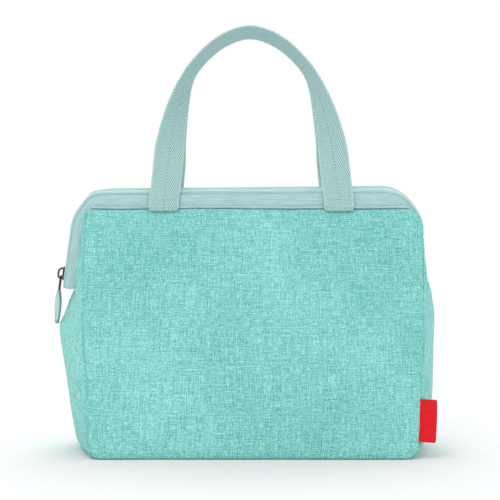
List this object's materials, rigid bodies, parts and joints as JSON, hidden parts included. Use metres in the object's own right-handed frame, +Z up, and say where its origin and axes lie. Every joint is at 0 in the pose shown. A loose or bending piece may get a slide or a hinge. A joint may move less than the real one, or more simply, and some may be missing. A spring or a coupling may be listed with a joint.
{
  "type": "insulated lunch bag",
  "caption": "Soft insulated lunch bag with a flat base, pleated ends, a zipped top that runs down both ends, and webbing carry handles.",
  "frame": {"origin": "middle of the base, on the surface it stands on", "axes": "+Z up, -Y towards the front face, -X towards the end with the zip slider"},
  "size_m": [0.3245, 0.15, 0.3597],
  "materials": {
    "shell_fabric": "woven, matte, heathered",
    "band_fabric": "twill, matte",
    "webbing": "herringbone webbing",
    "foam": "closed-cell foam",
    "liner": "wipe-clean film",
    "board": "plain sheet",
    "zip_tape": "woven tape",
    "zip_teeth": "coil",
    "dark_metal": "gunmetal",
    "label": "plain woven tab",
    "mesh": "open mesh",
    "binding": "ribbed tape",
    "thread": "sewing thread"
  },
  "bodies": {
    "tub": {"base_board": "board", "base_foam_lower": "foam", "base_panel": "shell_fabric", "front_foam_lower": "foam", "front_panel_lower": "shell_fabric", "left_foam_lower": "foam", "left_gusset_lower": "shell_fabric", "liner_tub": "liner", "mesh_pocket": "mesh", "pocket_elastic": "binding", "rear_foam_lower": "foam", "rear_panel_lower": "shell_fabric", "right_foam_lower": "foam", "right_gusset_lower": "shell_fabric", "side_label": "label"},
    "front_mouth": {"front_foam_upper": "foam", "front_handle_ends": "webbing", "front_handle_stitching": "thread", "front_left_gusset_upper": "shell_fabric", "front_liner_upper": "liner", "front_panel_upper": "shell_fabric", "front_right_gusset_upper": "shell_fabric", "front_rim_binding": "binding", "front_rim_welt": "band_fabric", "front_zip_band": "band_fabric", "front_zip_coil": "zip_teeth", "front_zip_tape": "zip_tape", "zip_end_stop": "dark_metal"},
    "rear_mouth": {"rear_foam_upper": "foam", "rear_handle_ends": "webbing", "rear_handle_stitching": "thread", "rear_left_gusset_upper": "shell_fabric", "rear_liner_upper": "liner", "rear_panel_upper": "shell_fabric", "rear_right_gusset_upper": "shell_fabric", "rear_rim_binding": "binding", "rear_rim_welt": "band_fabric", "rear_zip_band": "band_fabric", "rear_zip_coil": "zip_teeth", "rear_zip_tape": "zip_tape"},
    "front_handle": {"front_handle": "webbing"},
    "rear_handle": {"rear_handle": "webbing"},
    "slider": {"slider_body": "dark_metal", "slider_bail": "dark_metal"},
    "pull_link": {"pull_link": "dark_metal"},
    "pull_tab": {"pull_tab": "webbing"}
  },
  "joints": [
    {"name": "front_mouth_open", "type": "hinge", "parent": "tub", "child": "front_mouth", "pos_m": [0, -0.047, 0.107], "axis": [1, 0, 0], "range_deg": [0, 25]},
    {"name": "rear_mouth_open", "type": "hinge", "parent": "tub", "child": "rear_mouth", "pos_m": [0, 0.047, 0.107], "axis": [-1, 0, 0], "range_deg": [0, 25]},
    {"name": "front_handle_fall", "type": "hinge", "parent": "front_mouth", "child": "front_handle", "pos_m": [0, -0.0231, 0.2123], "axis": [1, 0, 0], "range_deg": [0, 150]},
    {"name": "rear_handle_fall", "type": "hinge", "parent": "rear_mouth", "child": "rear_handle", "pos_m": [0, 0.0231, 0.2123], "axis": [-1, 0, 0], "range_deg": [0, 150]},
    {"name": "slider_travel", "type": "slide", "parent": "front_mouth", "child": "slider", "axis": [0.1219, 0, 0.9925], "range_m": [0, 0.034]},
    {"name": "link_swing", "type": "hinge", "parent": "slider", "child": "pull_link", "pos_m": [-0.16288, 0, 0.1462], "axis": [0, 1, 0], "range_deg": [0, 120]},
    {"name": "tab_swing", "type": "hinge", "parent": "pull_link", "child": "pull_tab", "pos_m": [-0.16456, 0, 0.13251], "axis": [0, 1, 0], "range_deg": [0, 60]}
  ]
}
